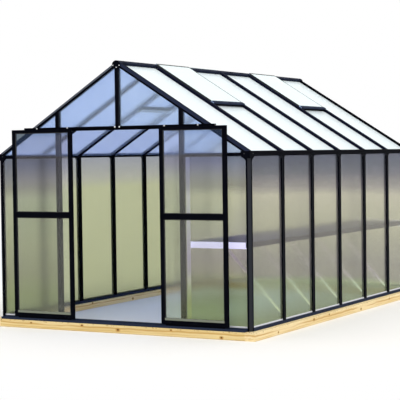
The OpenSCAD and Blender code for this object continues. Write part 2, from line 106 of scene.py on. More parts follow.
def mixColours(factor, first, second):
    # a Mix node takes its colours at sockets 6 and 7 and gives the mix at 2
    values = {0: factor, 6: opaque(first), 7: opaque(second)}
    tap = next(value for value in values.values() if isinstance(value, Tap))
    return tap.make("Mix", {"data_type": "RGBA"}, values, 2)


def opaque(colour):
    return colour if isinstance(colour, Tap) else (*colour, 1.0)


def darker(colour, tone):
    return tuple(tone * part for part in colour)


def newFinish(name):
    material = bpy.data.materials.new(name)
    material.use_nodes = True
    material.node_tree.nodes.clear()
    return material, Tap(material.node_tree)


def principled(tap, inputs):
    shader = tap.make("BsdfPrincipled", {}, inputs)
    tap.make("OutputMaterial", {}, {"Surface": shader})


def places(tap, scale=(1.0, 1.0, 1.0)):
    spot = tap.make("TexCoord", {}, {}, "Object")
    return tap.make("Mapping", {}, {"Vector": spot, "Scale": scale})


def cloud(tap, spot, size, detail=3.0, rough=0.55):
    # soft noise, 0 to 1, with features about size metres across
    return tap.make("TexNoise", {}, {
        "Vector": spot,
        "Scale": 1.0 / size,
        "Detail": detail,
        "Roughness": rough,
    })


def axes(tap, spot):
    split = tap.make("SeparateXYZ", {}, {"Vector": spot})
    return [Tap(tap.tree, split.socket.node.outputs[i]) for i in range(3)]


def bumped(tap, height, strength, distance):
    # a strength from 0 to 1 and a height in metres
    return tap.make("Bump", {}, {"Height": height, "Strength": strength, "Distance": distance})


# black painted bars

bars = {
    "paint": (0.0018, 0.0022, 0.0044),
    # the roof bars' navy is a painted reflection of the sky on bars that face it
    "roof": (0.0038, 0.0052, 0.0170),
    # paler colours for faces that lean, a painted reflection of the sky
    "bevel": (0.027, 0.029, 0.036),
    "gableBevelSheen": (0.016, 0.021, 0.043),
    # a painted highlight along the bevels of the slope on the left
    "gableHighlight": (0.17, 0.19, 0.22),
    "lineDepth": -0.0160,  # below the slope
    "lineHalf": 0.0042,
    # slate and ridge are bluer than the paint, a painted reflection of the sky
    "slate": (0.024, 0.033, 0.062),
    "ridge": (0.012, 0.016, 0.034),
    # pale undersides of the cross bars are a painted sky light, the back sill's pale inside a painted
    # light over its shade
    "crossUnderSkyLight": (0.62, 0.72, 0.95),
    "sillInsideLight": (0.70, 0.65, 0.50),
    # dust with a painted sky sheen that is stronger on faces that look up
    "dustAndSheen": (0.008, 0.009, 0.015),
    "dustSize": 0.12,
    "dustEdge": (0.42, 0.80),
    "dustAndSheenOnSides": 0.25,
    "dustRough": 0.12,
    "speckSize": 0.004,
    "speckRough": 0.06,
    "speckBump": (0.08, 0.0006),
    "roughness": 0.46,
    "gloss": 0.008,
    "upward": (0.2, 1.0),  # from here on, parts of a face's normal
    "bevelFrom": (0.50, 0.68),
    "bevelTo": (0.74, 0.90),
    "downFrom": -0.7,
    "frontFrom": -0.5,
}


def barFinish(name, paint, bevelPaint, under=None, front=None, line=None):
    # faces that lean at half a right angle get a paler colour, a painted reflection of the sky
    # under is a painted sky light for the faces that look down, front a painted light over the shade of
    # the faces that look to the front
    # line is a painted highlight, a pale line along the bevels of the slope on the left
    material, tap = newFinish(name)
    spot = places(tap)
    specks = cloud(tap, spot, bars["speckSize"], detail=2.0)
    # lighter patches of dust with a painted sky sheen, stronger on faces that look up
    dustAndSheenMask = cloud(tap, spot, bars["dustSize"], detail=5.0).between(*bars["dustEdge"])
    facing = axes(tap, tap.make("NewGeometry", {}, {}, "Normal"))
    upward = facing[2].between(*bars["upward"])
    lean = tap.math("ABSOLUTE", facing[1])
    bevel = lean.between(*bars["bevelFrom"]) * (1.0 - lean.between(*bars["bevelTo"]))
    dustAndSheenShare = dustAndSheenMask * (bars["dustAndSheenOnSides"] + (1.0 - bars["dustAndSheenOnSides"]) * upward)
    colour = mixColours(bevel, mixColours(dustAndSheenShare, paint, bars["dustAndSheen"]), bevelPaint)
    if under is not None:
        colour = mixColours(tap.math("LESS_THAN", facing[2], bars["downFrom"]), colour, under)
    if front is not None:
        colour = mixColours(tap.math("LESS_THAN", facing[1], bars["frontFrom"]), colour, front)
    if line is not None:
        # the pale line is a painted highlight
        half = bars["lineHalf"]
        sides = axes(tap, spot)
        depth = (sides[2] - roofLine["apex"]) * math.cos(roofAngle) - sides[0] * math.sin(roofAngle)
        off = tap.math("ABSOLUTE", depth - bars["lineDepth"])
        onLeft = tap.math("LESS_THAN", facing[0], 0.0)
        colour = mixColours(bevel * (1.0 - off.between(0.5 * half, half)) * onLeft, colour, line)
    principled(tap, {
        "Base Color": colour,
        "Roughness": bars["roughness"] + bars["dustRough"] * dustAndSheenMask + bars["speckRough"] * specks,
        "Specular IOR Level": bars["gloss"],
        "Normal": bumped(tap, specks, *bars["speckBump"]),
    })
    return material


# pale pine timbers

timber = {
    "frontPale": (0.83, 0.66, 0.335),
    "frontStraw": (0.70, 0.495, 0.185),
    "sidePale": (0.91, 0.745, 0.44),
    "sideStraw": (0.78, 0.57, 0.25),
    "amber": (0.56, 0.315, 0.080),
    "grain": 0.05,  # the smaller, the longer the fibres
    "fibreSize": 0.010,
    "fibreShare": 0.35,
    "fibreRough": 0.2,
    "broadSize": 0.030,
    "broadShare": 0.55,
    "broadEdge": (0.40, 0.66),
    "broadBump": 0.6,
    "bands": ((0.041, 0.0085, 0.80), (0.017, 0.0050, 0.45)),  # height, half width and strength
    "bandCore": 0.2,
    "bandBreak": (0.30, 0.52),
    "wander": 0.024,
    "wanderSize": 0.20,
    "speck": (0.30, 0.15, 0.045),
    "speckSize": 0.016,
    "speckEdge": (0.58, 0.66),
    "speckShare": 0.8,
    "speckFrom": (0.054, 0.060),
    "knot": (0.075, 0.030, 0.012),
    "knotLong": 0.7,
    "knotWander": 0.006,
    "knotHalo": 2.2,
    "knotHeart": 0.45,
    "roughness": 0.62,
    "gloss": 0.25,
    "bump": (0.35, 0.0015),
}
# knots as the place along a timber, the height and the radius
knotsX = [
    (0.015, 0.030, 0.010),
    (-0.86, 0.047, 0.006),
    (-0.34, 0.050, 0.007),
    (0.52, 0.053, 0.006),
    (0.98, 0.016, 0.008),
]
knotsY = [
    (-0.75, 0.046, 0.009),
    (-0.42, 0.052, 0.006),
    (0.32, 0.022, 0.008),
    (1.05, 0.044, 0.007),
    (-1.46, 0.024, 0.006),
]


def timberFinish(name, along, knots, pale, straw):
    # along is the axis of the grain, 0 for X and 1 for Y
    material, tap = newFinish(name)
    spot = places(tap)
    sides = axes(tap, spot)
    stretch = [1.0, 1.0, 1.0]
    stretch[along] = timber["grain"]
    drawn = places(tap, stretch)
    fibre = cloud(tap, drawn, timber["fibreSize"], rough=0.6)
    broad = cloud(tap, drawn, timber["broadSize"], detail=2.0)
    wander = cloud(tap, spot, timber["wanderSize"], detail=2.0)
    level = sides[2] + timber["wander"] * (wander - 0.5)
    mottle = timber["broadShare"] * broad.between(*timber["broadEdge"])
    colour = mixColours(timber["fibreShare"] * fibre + mottle, pale, straw)
    for middle, half, depth in timber["bands"]:
        off = tap.math("ABSOLUTE", level - middle)
        band = (1.0 - off.between(timber["bandCore"] * half, half)) * broad.between(*timber["bandBreak"])
        colour = mixColours(depth * band, colour, timber["amber"])
    dots = cloud(tap, spot, timber["speckSize"], detail=2.0).between(*timber["speckEdge"])
    specks = timber["speckShare"] * dots * sides[2].between(*timber["speckFrom"])
    colour = mixColours(specks, colour, timber["speck"])
    for place, rise, radius in knots:
        reach = (sides[along] - place) * timber["knotLong"]
        lift = sides[2] - rise
        away = tap.math("SQRT", reach * reach + lift * lift) + timber["knotWander"] * (fibre - 0.5)
        halo = 1.0 - away.between(radius, timber["knotHalo"] * radius)
        heart = 1.0 - away.between(timber["knotHeart"] * radius, radius)
        colour = mixColours(heart, mixColours(halo, colour, timber["amber"]), timber["knot"])
    principled(tap, {
        "Base Color": colour,
        "Roughness": timber["roughness"] + timber["fibreRough"] * fibre,
        "Specular IOR Level": timber["gloss"],
        "Normal": bumped(tap, fibre + timber["broadBump"] * broad, *timber["bump"]),
    })
    return material


# translucent twin-wall sheets

sheet = {
    "low": 0.066,  # the painted light runs from low to high
    "high": 1.72,
    "flute": 0.0105,
    "fluteBump": (0.18, 0.0010),
    "streakSize": 0.03,
    "streakLong": 0.04,
    "streakFrom": 0.2,
    "streakRough": 0.06,
    "blotchSize": 0.45,
    "blotchFrom": 0.3,
    "dull": (0.30, 0.32, 0.30),
    "dullShare": 0.10,
    "gloss": 0.35,
    "wallRough": 0.20,
    "gableRough": 0.15,
    "leftRough": 0.32,
    "highRough": 0.09,
    "doorRough": 0.16,
    "roofRough": 0.13,
    "bend": 1.16,  # two thin skins bend the light less than a solid sheet
    "horizon": 1.48,  # bands of painted light stay level at this height
    "frontSpread": -0.045,
    "sideSpread": 0.076,
    "spreadFrom": (1.22, -1.82),  # the front right corner
    "wallClear": 0.90,
    "gableClear": 0.92,
    "doorClear": 0.95,
    "roofClear": 0.14,
    "underClear": 0.80,
    "roof": (0.85, 0.925, 0.925),
    "vent": (0.84, 0.955, 0.945),
    # under is a painted sky blue for the roof seen from below
    "under": (0.49, 0.61, 0.98),
    "roofDull": (0.6, 0.66, 0.70),
    "roofDullShare": 0.08,
    "roofStreakRough": 0.10,
    # painted glow of sky light on the sheets above the eaves
    "glow": (0.018, 0.030, 0.056),
    "doorGlow": (0.003, 0.009, 0.028),
    "glowFrom": (1.46, 1.48),
    # painted shade for the doors where they stand above the roof's slope
    "corner": (0.13, 0.16, 0.17),
    "leftCorner": (-0.084, -0.072),  # heights against the roof's slope
    "rightCorner": (-0.040, -0.028),
}
# painted light by height: the surroundings seen through the sheet, its reflections and shade, as shares of
# the way from the sill to the door track
wallPaintedLight = [
    (0.00, (0.70, 0.78, 0.47)),
    (0.24, (0.75, 0.86, 0.65)),
    (0.27, (0.64, 0.60, 0.66)),
    (0.34, (0.63, 0.585, 0.67)),
    (0.50, (0.83, 0.79, 0.79)),
    (0.65, (0.95, 0.89, 0.92)),
    (0.69, (0.63, 0.57, 0.69)),
    (0.755, (0.345, 0.34, 0.43)),
    (0.80, (0.26, 0.275, 0.36)),
    (0.85, (0.245, 0.265, 0.36)),
]
# painted light of every sheet as it looks from inside
innerPaintedLight = [
    (0.00, (0.45, 0.485, 0.30)),
    (0.66, (0.53, 0.56, 0.36)),
    (0.72, (0.48, 0.49, 0.42)),
    (0.85, (0.37, 0.39, 0.45)),
]
# painted light of the doors
leftDoorPaintedLight = [
    (0.00, (0.97, 0.99, 0.94)),
    (0.25, (0.97, 0.98, 0.96)),
    (0.42, (0.97, 0.98, 0.98)),
    (0.62, (0.91, 0.95, 0.95)),
    (0.74, (0.94, 0.92, 1.0)),
    (0.82, (0.71, 0.715, 0.87)),
    (0.87, (0.81, 0.75, 0.73)),
    (0.935, (0.79, 0.73, 0.71)),
    (0.965, (0.50, 0.52, 0.52)),
]
rightDoorPaintedLight = [
    (0.00, (0.85, 0.89, 0.64)),
    (0.13, (0.85, 0.89, 0.66)),
    (0.19, (0.96, 0.98, 0.90)),
    (0.25, (1.0, 1.0, 1.0)),
    (0.62, (0.98, 1.0, 1.0)),
    (0.75, (0.96, 0.97, 1.0)),
    (0.82, (0.84, 0.82, 0.99)),
    (0.87, (1.0, 1.0, 1.0)),
    (0.935, (1.0, 1.0, 1.0)),
    (0.965, (0.80, 0.84, 0.90)),
]
# painted light of the front gable
gablePaintedLight = [
    (0.00, (0.77, 0.87, 0.52)),
    (0.05, (0.68, 0.77, 0.44)),
    (0.10, (0.65, 0.74, 0.40)),
    (0.165, (0.60, 0.66, 0.37)),
    (0.21, (0.72, 0.77, 0.50)),
    (0.25, (0.83, 0.82, 0.70)),
    (0.29, (0.72, 0.65, 0.76)),
    (0.36, (0.71, 0.615, 0.86)),
    (0.51, (0.865, 0.835, 0.93)),
    (0.65, (1.0, 0.965, 1.0)),
    (0.70, (0.60, 0.575, 0.66)),
    (0.80, (0.55, 0.575, 0.72)),
    (0.83, (0.48, 0.53, 0.67)),
    (0.86, (0.93, 1.0, 1.0)),
]
# painted light on the outsides of the back gable and the left wall
backPaintedLight = [
    (0.00, (0.63, 0.73, 0.36)),
    (0.20, (0.62, 0.66, 0.40)),
    (0.28, (0.67, 0.645, 0.60)),
    (0.34, (0.68, 0.65, 0.61)),
    (0.65, (0.97, 0.94, 0.95)),
    (0.70, (0.58, 0.56, 0.63)),
    (0.83, (0.47, 0.52, 0.66)),
    (0.86, (0.93, 1.0, 1.0)),
]
leftWallPaintedLight = [
    (0.00, (0.70, 0.78, 0.47)),
    (0.24, (0.73, 0.80, 0.60)),
    (0.28, (0.66, 0.645, 0.58)),
    (0.34, (0.66, 0.635, 0.58)),
    (0.50, (0.83, 0.80, 0.76)),
    (0.65, (0.95, 0.89, 0.90)),
    (0.69, (0.63, 0.57, 0.69)),
    (0.755, (0.345, 0.34, 0.43)),
    (0.80, (0.26, 0.275, 0.36)),
    (0.85, (0.245, 0.265, 0.36)),
]
# painted light on the front gable on the left of the doors
leftGablePaintedLight = [
    (0.00, (0.68, 0.74, 0.60)),
    (0.20, (0.62, 0.68, 0.50)),
    (0.30, (0.64, 0.64, 0.60)),
    (0.45, (0.76, 0.77, 0.72)),
    (0.65, (0.87, 0.87, 0.88)),
    (0.70, (0.58, 0.56, 0.61)),
    (0.83, (0.42, 0.45, 0.54)),
    (0.86, (0.90, 0.97, 1.0)),
]


def flutesOver(tap, spot, across):
    # round ribs that run down the sheet, across is the axis square to them
    place = axes(tap, spot)[across]
    ribs = tap.math("ABSOLUTE", tap.math("SINE", place * (math.pi / sheet["flute"])))
    stretch = [sheet["streakLong"]] * 3
    stretch[across] = 1.0
    streaks = cloud(tap, places(tap, stretch), sheet["streakSize"])
    return bumped(tap, ribs, *sheet["fluteBump"]), streaks


def sheetFinish(name, paintedLight, square, clear, rough, spread=0.0, glow=None, otherPaintedLight=None, corner=None):
    # square is the axis square to the sheet
    # with a spread the bands of painted light sink away from the front corner
    # glow is a painted glow of sky light on what stands above the eaves, otherPaintedLight for the sheets
    # left of the middle
    # corner is a painted shade that deepens a door where it stands above the roof's slope, wherever it has
    # slid to
    material, tap = newFinish(name)
    spot = places(tap)
    run = 1 - square
    normal, streaks = flutesOver(tap, spot, run)
    sides = axes(tap, spot)
    sink = (sides[run] - sheet["spreadFrom"][run]) * spread
    level = sides[2] + sink * (sheet["horizon"] - sides[2])
    share = tap.make("MapRange", {}, {0: level, 1: sheet["low"], 2: sheet["high"]})
    facing = axes(tap, tap.make("NewGeometry", {}, {}, "True Normal"))[square]
    outside = tap.math("GREATER_THAN", facing * sides[square], 0.0)
    # outer, inner and the tint they make carry the painted light of the tables
    outer = tap.make("ValToRGB", {"stops": paintedLight}, {0: share})
    if otherPaintedLight is not None:
        other = tap.make("ValToRGB", {"stops": otherPaintedLight}, {0: share})
        onLeft = tap.math("LESS_THAN", sides[run], 0.0)
        outer = mixColours(onLeft, outer, other)
        rough = rough + (sheet["leftRough"] - rough) * onLeft
    inner = tap.make("ValToRGB", {"stops": innerPaintedLight}, {0: share})
    tint = mixColours(outside, inner, outer)
    # painted shade where a door stands above the roof's slope
    if corner is not None:
        stand = axes(tap, tap.make("NewGeometry", {}, {}, "Position"))
        slope = tap.math("ABSOLUTE", stand[run]) * math.tan(roofAngle)
        above = stand[2] - roofLine["apex"] + slope
        tint = mixColours(above.between(*corner), tint, sheet["corner"])
    blotches = cloud(tap, spot, sheet["blotchSize"], detail=2.0)
    streaky = sheet["dullShare"] * (streaks - sheet["streakFrom"])
    blotchy = sheet["dullShare"] * (blotches - sheet["blotchFrom"])
    high = sides[2].between(*sheet["glowFrom"])
    highRough = rough + (sheet["highRough"] - rough) * high
    inputs = {
        "Base Color": mixColours(streaky + blotchy, tint, sheet["dull"]),
        "Roughness": highRough + sheet["streakRough"] * (streaks - 0.5),
        "IOR": sheet["bend"],
        "Transmission Weight": clear,
        "Specular IOR Level": sheet["gloss"],
        "Normal": normal,
    }
    if glow is not None:
        inputs["Emission Color"] = mixColours(high, (0.0, 0.0, 0.0), glow)
        inputs["Emission Strength"] = 1.0
    principled(tap, inputs)
    return material


def roofFinish(name, colour):
    # white in the light from above; from below a painted blue that stands for the sky seen through the
    # sheet
    material, tap = newFinish(name)
    normal, streaks = flutesOver(tap, places(tap), 1)
    facing = axes(tap, tap.make("NewGeometry", {}, {}, "True Normal"))[2]
    above = tap.math("GREATER_THAN", facing, 0.0)
    shaders = []
    for tint, clear in ((sheet["under"], sheet["underClear"]), (colour, sheet["roofClear"])):
        shaders.append(tap.make("BsdfPrincipled", {}, {
            "Base Color": mixColours(sheet["roofDullShare"] * streaks, tint, sheet["roofDull"]),
            "Roughness": sheet["roofRough"] + sheet["roofStreakRough"] * (streaks - 0.5),
            "IOR": sheet["bend"],
            "Transmission Weight": clear,
            "Specular IOR Level": sheet["gloss"],
            "Normal": normal,
        }))
    mixed = tap.make("MixShader", {}, {0: above, 1: shaders[0], 2: shaders[1]})
    tap.make("OutputMaterial", {}, {"Surface": mixed})
    return material


# mill-finish aluminium of the bench and the strip beside the doorway

metal = {
    "alloy": (0.80, 0.81, 0.86),
    "bright": (0.74, 0.79, 0.91),
    # painted glows of bars that throw back daylight, dimming to a painted shade at the tops of the struts
    "barGlow": 1.22,
    "stripGlow": 0.45,
    "strut": (0.95, 0.93, 0.92),
    "strutGlow": 0.75,
    "strutShade": (0.30, 0.28, 0.28),
    "strutFade": (0.22, 0.50),
    # painted shade of the bench rails and the slats towards the wall
    "shaded": (0.045, 0.042, 0.047),
    "shadedFrom": 0.64,
    "drawn": 0.006,
    "drawnLong": 0.02,
    "drawnRough": 0.18,
    "drawnBump": (0.10, 0.0005),
    "patchSize": 0.15,
    "patchShare": 0.30,
    "patchTone": 0.75,
    "metallic": 0.25,
    "roughness": 0.38,
}


def alloyFinish(name, tint, glow=0.0, shadedFrom=None, fade=None):
    # drawn lines along the bars, and a painted glow for the daylight that bright bars throw back
    # shadedFrom is the place across the bench where painted shade darkens it, fade the heights where the
    # painted glow dims to a painted shade
    material, tap = newFinish(name)
    spot = places(tap)
    sides = axes(tap, spot)
    lines = cloud(tap, places(tap, (1.0, metal["drawnLong"], 1.0)), metal["drawn"])
    patches = cloud(tap, spot, metal["patchSize"])
    colour = mixColours(metal["patchShare"] * patches, tint, darker(tint, metal["patchTone"]))
    if shadedFrom is not None:
        colour = mixColours(tap.math("GREATER_THAN", sides[0], shadedFrom), colour, metal["shaded"])
    shine = opaque(tint)
    if fade is not None:
        shine = mixColours(sides[2].between(*fade), tint, metal["strutShade"])
    principled(tap, {
        "Base Color": colour,
        "Metallic": metal["metallic"],
        "Roughness": metal["roughness"] + metal["drawnRough"] * lines,
        "Normal": bumped(tap, lines, *metal["drawnBump"]),
        "Emission Color": shine,
        "Emission Strength": glow,
    })
    return material


# plain finishes as the tint, metallic share, roughness and size of the grain

plainLooks = {
    # the rails take the painted shade of the bench
    "bench_shaded_rails": (metal["shaded"], 0.3, 0.45, 0.01),
    "dark_fittings": ((0.012, 0.013, 0.016), 0.0, 0.45, 0.002),
    "zinc_bolts": ((0.84, 0.85, 0.86), 0.35, 0.28, 0.006),
    "black_rubber": ((0.006, 0.006, 0.007), 0.0, 0.6, 0.002),
    "bright_trim": ((0.80, 0.81, 0.85), 0.15, 0.35, 0.01),
    "pale_seal": ((0.190, 0.210, 0.160), 0.0, 0.6, 0.01),
    "grey_edging": ((0.040, 0.046, 0.044), 0.2, 0.45, 0.01),
}
grain = {
    "share": 0.5,
    "tone": 0.7,
    "rough": 0.15,
    "bump": (0.12, 0.0004),
}


def plainFinish(name, tint, metallic, roughness, size):
    material, tap = newFinish(name)
    grains = cloud(tap, places(tap), size, detail=2.0)
    principled(tap, {
        "Base Color": mixColours(grain["share"] * grains, tint, darker(tint, grain["tone"])),
        "Metallic": metallic,
        "Roughness": roughness + grain["rough"] * grains,
        "Normal": bumped(tap, grains, *grain["bump"]),
    })
    return material


black = barFinish("black_bars", bars["paint"], bars["bevel"])
gableBars = barFinish("gable_bars", bars["paint"], bars["gableBevelSheen"], line=bars["gableHighlight"])
crossBars = barFinish("cross_bars", bars["paint"], bars["bevel"], under=bars["crossUnderSkyLight"])
ridgeBar = barFinish("ridge_bar", bars["ridge"], bars["bevel"])
backSill = barFinish("back_sill_bar", bars["slate"], bars["bevel"], front=bars["sillInsideLight"])
roofBars = barFinish("roof_bars", bars["roof"], bars["bevel"])
slate = barFinish("slate_bars", bars["slate"], bars["bevel"])
timberX = timberFinish("pine_across", 0, knotsX, timber["frontPale"], timber["frontStraw"])
timberY = timberFinish("pine_along", 1, knotsY, timber["sidePale"], timber["sideStraw"])
rightSheet = sheetFinish("right_wall_sheet", wallPaintedLight, 0, sheet["wallClear"], sheet["wallRough"],
                         sheet["sideSpread"])
leftSheet = sheetFinish("left_wall_sheet", leftWallPaintedLight, 0, sheet["wallClear"], sheet["wallRough"])
frontSheet = sheetFinish("front_gable_sheet", gablePaintedLight, 1, sheet["gableClear"], sheet["gableRough"],
                         sheet["frontSpread"], sheet["glow"], leftGablePaintedLight)
backSheet = sheetFinish("back_gable_sheet", backPaintedLight, 1, sheet["gableClear"], sheet["gableRough"],
                        glow=sheet["glow"])
leftDoorSheet = sheetFinish("left_door_sheet", leftDoorPaintedLight, 1, sheet["doorClear"], sheet["doorRough"],
                            sheet["frontSpread"], sheet["doorGlow"], corner=sheet["leftCorner"])
rightDoorSheet = sheetFinish("right_door_sheet", rightDoorPaintedLight, 1, sheet["doorClear"], sheet["doorRough"],
                             sheet["frontSpread"], sheet["doorGlow"], corner=sheet["rightCorner"])
roofSheet = roofFinish("roof_sheet", sheet["roof"])
ventSheet = roofFinish("vent_sheet", sheet["vent"])
alloy = alloyFinish("bench_aluminium", metal["alloy"])
# the slats darken towards the wall with a painted shade
slats = alloyFinish("bench_slat_aluminium", metal["alloy"], shadedFrom=metal["shadedFrom"])
# the end bars, struts and jamb strip glow with painted light
brightBars = alloyFinish("bench_bright_bars", metal["bright"], metal["barGlow"])
brightStruts = alloyFinish("bench_bright_struts", metal["strut"], metal["strutGlow"],
                           fade=metal["strutFade"])
stripTrim = alloyFinish("jamb_strip", metal["alloy"], metal["stripGlow"])
plain = {name: plainFinish(name, *look) for name, look in plainLooks.items()}

finishes = {
    "base_timber_front": timberX,
    "base_timber_back": timberX,
    "base_timber_left": timberY,
    "base_timber_right": timberY,
    "left_wall_panels": leftSheet,
    "right_wall_panels": rightSheet,
    "front_gable_panels": frontSheet,
    "back_gable_panels": backSheet,
    "left_door_panels": leftDoorSheet,
    "right_door_panels": rightDoorSheet,
    "left_roof_panels": roofSheet,
    "right_roof_panels": roofSheet,
    "vent_panels": ventSheet,
    "vent_bottom_bars": slate,
    "vent_cross_bars": crossBars,
    "ridge_beam": ridgeBar,
    "front_gable_rafters": gableBars,
    "back_gable_rafters": gableBars,
    "front_sill": slate,
    "left_sill": slate,
    "right_sill": slate,
    "back_sill": backSill,
    "left_rafters": roofBars,
    "right_rafters": roofBars,
    "left_door_hangers": plain["dark_fittings"],
    "right_door_hangers": plain["dark_fittings"],
    "bench_rails": plain["bench_shaded_rails"],
    "bench_end_bars": brightBars,
    "bench_struts": brightStruts,
    "bench_slats": slats,
    "bench_arms": alloy,
}
for name, piece in nodes.items():
    piece.data.materials.clear()
    piece.data.materials.append(finishes.get(name, black))
print("finishes set on the frame")


# added pieces

def addRun(bm, profile, origin, across, up, along):
    # a closed profile drawn over across and up, run along a vector
    ends = []
    for step in (0.0, 1.0):
        start = Vector(origin) + Vector(along) * step
        ends.append([bm.verts.new(start + Vector(across) * a + Vector(up) * b) for a, b in profile])
    count = len(profile)
    for i in range(count):
        j = (i + 1) % count
        bm.faces.new((ends[0][i], ends[0][j], ends[1][j], ends[1][i]))
    bm.faces.new(ends[0][::-1])
    bm.faces.new(ends[1])


def addTurned(bm, outline, spot, out, sides=14):
    # an outline of (radius, height) pairs turned about the line out of the spot, closed at its tip
    axis = Vector(out).normalized()
    first = axis.orthogonal().normalized()
    second = axis.cross(first)
    rows = []
    for radius, height in outline[:-1]:
        row = []
        for i in range(sides):
            angle = 2.0 * math.pi * i / sides
            arm = first * math.cos(angle) + second * math.sin(angle)
            row.append(bm.verts.new(Vector(spot) + arm * radius + axis * height))
        rows.append(row)
    tip = bm.verts.new(Vector(spot) + axis * outline[-1][1])
    for low, high in zip(rows, rows[1:]):
        for i in range(sides):
            j = (i + 1) % sides
            bm.faces.new((low[i], low[j], high[j], high[i]))
    for i in range(sides):
        bm.faces.new((rows[-1][i], rows[-1][(i + 1) % sides], tip))
    bm.faces.new(rows[0][::-1])


def makePiece(name, bm, finish, body):
    bmesh.ops.recalc_face_normals(bm, faces=bm.faces)
    mesh = bpy.data.meshes.new(name)
    bm.to_mesh(mesh)
    bm.free()
    mesh.materials.append(finish)
    piece = bpy.data.objects.new(name, mesh)
    scene.collection.objects.link(piece)
    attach(piece, body)


# bright channels along the foot of the sheets

footTrim = {
    "profile": [(0.0, 0.0), (0.0035, 0.0), (0.0035, 0.009), (0.0015, 0.0125), (0.0, 0.0125)],
    "barHalf": 0.019,
    "bay": 0.6,
    "sideBays": 6,
    "gableBays": 4,
}


def baySpans(low, high, count):
    # spans between the bars of a wall that runs from low to high
    half = footTrim["barHalf"]
    first = -footTrim["bay"] * count / 2.0
    spans = []
    for i in range(count):
        start = low if i == 0 else first + footTrim["bay"] * i + half
        end = high if i == count - 1 else first + footTrim["bay"] * (i + 1) - half
        spans.append((start, end))
    return spans


def addFootTrims():
    # the doorway takes the two middle bays of the front
    bm = bmesh.new()
    profile = footTrim["profile"]
    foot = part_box("right_sill")[1].z
    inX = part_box("front_sill")[1].x
    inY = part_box("right_sill")[1].y
    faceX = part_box("right_wall_panels")[1].x
    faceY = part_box("back_gable_panels")[1].y
    for side in (-1.0, 1.0):
        for start, end in baySpans(-inY, inY, footTrim["sideBays"]):
            corner = (side * faceX, start, foot)
            addRun(bm, profile, corner, (side, 0, 0), (0, 0, 1), (0, end - start, 0))
    spans = baySpans(-inX, inX, footTrim["gableBays"])
    for side, kept in ((-1.0, (spans[0], spans[-1])), (1.0, spans)):
        for start, end in kept:
            corner = (start, side * faceY, foot)
            addRun(bm, profile, corner, (0, side, 0), (0, 0, 1), (end - start, 0, 0))
    makePiece("foot_trims", bm, plain["bright_trim"], "greenhouse")


addFootTrims()


# pale channel that closes the sheet's edge beside the right jamb, behind the sheet, lit by a painted glow

jambStrip = {
    "from": 0.632,
    "to": 0.666,
    "depth": 0.0045,
    "lip": 0.002,
    "endGap": 0.003,
    "sheetGap": 0.0006,
}


def addJambStrip():
    # the front gable's sheets mirror those of the back gable
    bm = bmesh.new()
    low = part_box("front_sill")[1].z + jambStrip["endGap"]
    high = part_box("front_gable_rails")[0].z - jambStrip["endGap"]
    back = -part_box("back_gable_panels")[0].y + jambStrip["sheetGap"]
    wide = jambStrip["to"] - jambStrip["from"]
    deep = jambStrip["depth"]
    lip = jambStrip["lip"]
    profile = [(0.0, 0.0), (wide, 0.0), (wide, deep), (wide - lip, deep),
               (wide - lip, lip), (lip, lip), (lip, deep), (0.0, deep)]
    addRun(bm, profile, (jambStrip["from"], back, low), (1, 0, 0), (0, 1, 0), (0, 0, high - low))
    makePiece("jamb_strip", bm, stripTrim, "greenhouse")


addJambStrip()


# dome-headed bolts

bolts = {
    "dome": [(0.0068, 0.0), (0.0068, 0.0010), (0.0052, 0.0028), (0.0026, 0.0040), (0.0, 0.0044)],
    "small": [(0.0048, 0.0), (0.0048, 0.0008), (0.0036, 0.0021), (0.0018, 0.0029), (0.0, 0.0032)],
    "trackLevel": 1.7045,
    "trackPlaces": (-0.793, -0.481, -0.0084, 0.0352, 0.461, 0.771),
    "platePlaces": ((-0.0300, 2.2130), (0.0030, 2.1945), (0.0310, 2.2105)),
    "capIn": 0.052,
    "capLevel": 1.4705,
    "screwIn": 0.030,
    "screwSteps": (0.0, 0.035),
}


def addBolts():
    bm = bmesh.new()
    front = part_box("door_track")[0].y
    for x in bolts["trackPlaces"]:
        addTurned(bm, bolts["dome"], (x, front, bolts["trackLevel"]), (0, -1, 0))
    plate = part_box("ridge_end_plates")[1].y
    for side in (-1.0, 1.0):
        for x, z in bolts["platePlaces"]:
            addTurned(bm, bolts["small"], (x, side * plate, z), (0, side, 0))
    makePiece("bright_bolts", bm, plain["zinc_bolts"], "greenhouse")
    dark = bmesh.new()
    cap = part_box("eave_corner_caps")[1]
    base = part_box("base_timber_right")[1]
    level = bolts["capLevel"]
    for sideX in (-1.0, 1.0):
        for sideY in (-1.0, 1.0):
            spots = [
                ((sideX * (cap.x - bolts["capIn"]), sideY * cap.y, level), (0, sideY, 0)),
                ((sideX * cap.x, sideY * (cap.y - bolts["capIn"]), level), (sideX, 0, 0)),
            ]
            for step in bolts["screwSteps"]:
                x = sideX * (base.x - bolts["screwIn"] - step)
                spots.append(((x, sideY * (base.y - bolts["screwIn"]), base.z), (0, 0, 1)))
            for spot, out in spots:
                addTurned(dark, bolts["small"], spot, out)
    makePiece("dark_bolts", dark, plain["dark_fittings"], "greenhouse")


addBolts()


# grey edging round the vents

ventEdge = {
    "half": 0.284,
    "from": 0.014,
    "to": 0.638,
    "lift": 0.0003,
    "side": [(0.0, 0.0), (0.0022, 0.0), (0.0022, 0.0089), (-0.009, 0.0089), (-0.009, 0.0082),
             (0.0, 0.0082)],
    "top": [(0.0, 0.0082), (0.007, 0.0082), (0.007, 0.0090), (-0.010, 0.0090), (-0.010, 0.0082)],
    "bays": ((1.0, -0.9), (1.0, 0.9), (-1.0, -0.3)),
}


